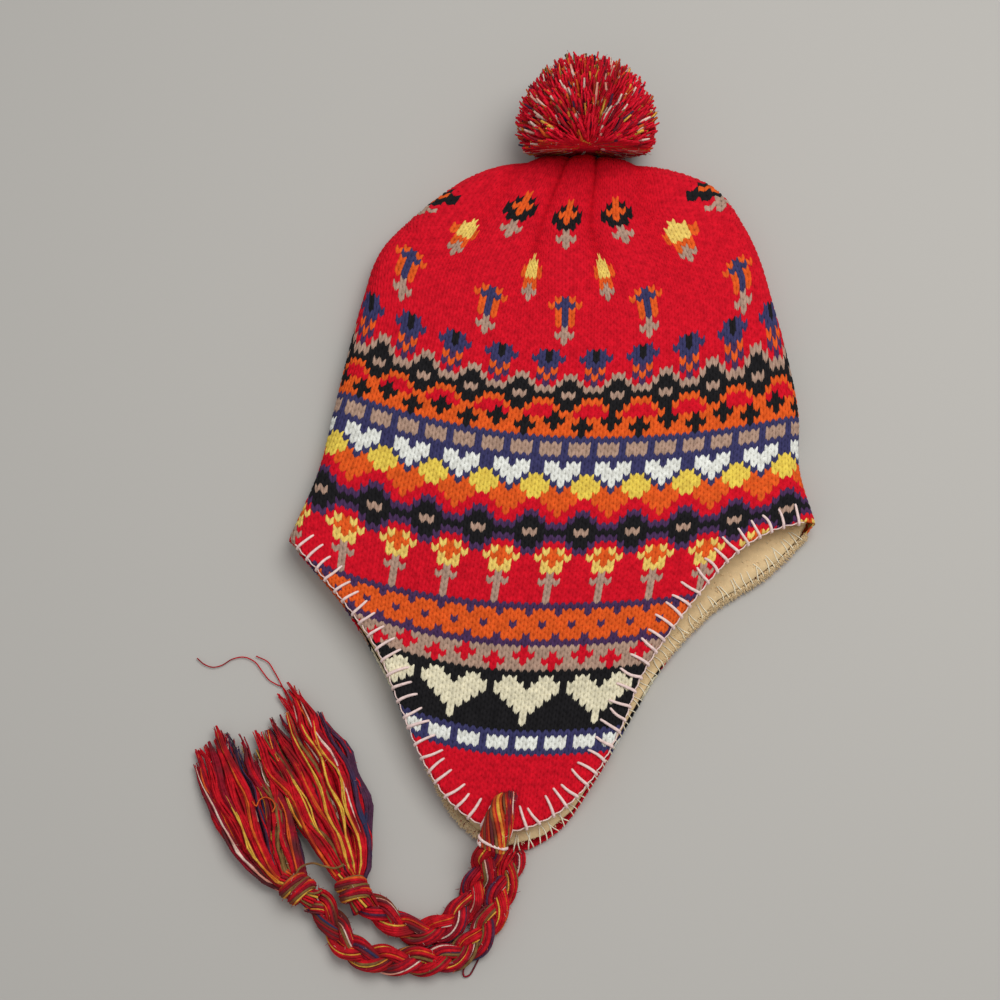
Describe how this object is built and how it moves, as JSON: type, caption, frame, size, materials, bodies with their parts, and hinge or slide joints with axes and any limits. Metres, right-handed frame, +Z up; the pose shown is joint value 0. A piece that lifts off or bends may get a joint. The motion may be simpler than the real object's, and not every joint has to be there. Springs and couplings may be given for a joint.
{
  "type": "knitted earflap hat",
  "caption": "Fleece-lined colourwork knit hat lying flat, with two blanket-stitched earflaps, plaited yarn ties ending in tassels, and a pompom on its gathered crown.",
  "frame": {"origin": "middle of the hat's box, pompom included and ties left out, on the surface it lies on", "axes": "+Y from the flap tips to the pompom, +X to the right seen from above, +Z up from the surface it lies on"},
  "size_m": [0.2945, 0.455, 0.061],
  "materials": {
    "knit": "soft matt colourwork knit, red ground with black, orange, yellow, navy, purple, taupe and cream",
    "fleece": "cream brushed fleece",
    "pompom_yarn": "cut yarn, mostly red with orange, yellow, white and purple",
    "tie_yarn": "loose multicoloured yarn, mostly red"
  },
  "bodies": {
    "root": {"knit_shell": "knit", "fleece_lining": "fleece", "pompom": "pompom_yarn", "braid_upper": "tie_yarn", "braid_lower": "tie_yarn", "knot_upper": "tie_yarn", "knot_lower": "tie_yarn", "tassel_upper": "tie_yarn", "tassel_lower": "tie_yarn"}
  },
  "joints": []
}
